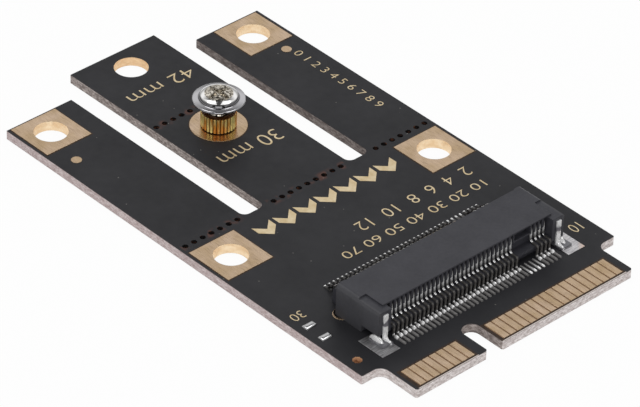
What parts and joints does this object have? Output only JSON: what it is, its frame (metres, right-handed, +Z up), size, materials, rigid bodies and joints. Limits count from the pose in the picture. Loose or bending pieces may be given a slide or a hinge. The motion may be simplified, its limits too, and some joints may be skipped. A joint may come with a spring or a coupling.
{
  "type": "solid-state drive adapter card",
  "caption": "Flat three-armed circuit board that carries a slim solid-state drive card in an edge socket and plugs by its notched gold tab into a narrow host card slot.",
  "frame": {"origin": "under the middle of the card, on the plane of its underside lands", "axes": "+X from the drive's screw end towards the gold edge tab, +Y across the card to its far side, +Z up through the face that carries the socket"},
  "size_m": [0.0538, 0.03, 0.0044],
  "materials": {
    "board": "satin black coating on a glass-fibre board with bare pale edges",
    "gold_land": "matt gold flash on copper",
    "housing": "fine matt moulded plastic, dark slate",
    "contact": "bright tin-plated spring strip",
    "hold_down": "bright tin plate",
    "standoff": "polished, straight knurled",
    "screw": "bright nickel plate",
    "solder": "smooth solder"
  },
  "bodies": {
    "root": {"board": "board", "plated_hole_full_near": "gold_land", "plated_hole_full_far": "gold_land", "plated_hole_half_near": "gold_land", "plated_hole_half_far": "gold_land", "standoff_land": "gold_land", "edge_contacts_top": "gold_land", "edge_contacts_bottom": "gold_land", "socket_housing": "housing", "socket_contacts_rear": "contact", "socket_contacts_front": "contact", "hold_down_near": "hold_down", "hold_down_far": "hold_down", "hold_down_land_near": "solder", "hold_down_land_far": "solder", "standoff": "standoff", "screw": "screw", "jumper_land_a": "solder", "jumper_land_b": "solder", "test_point_near": "gold_land", "test_point_far": "gold_land"}
  },
  "joints": []
}
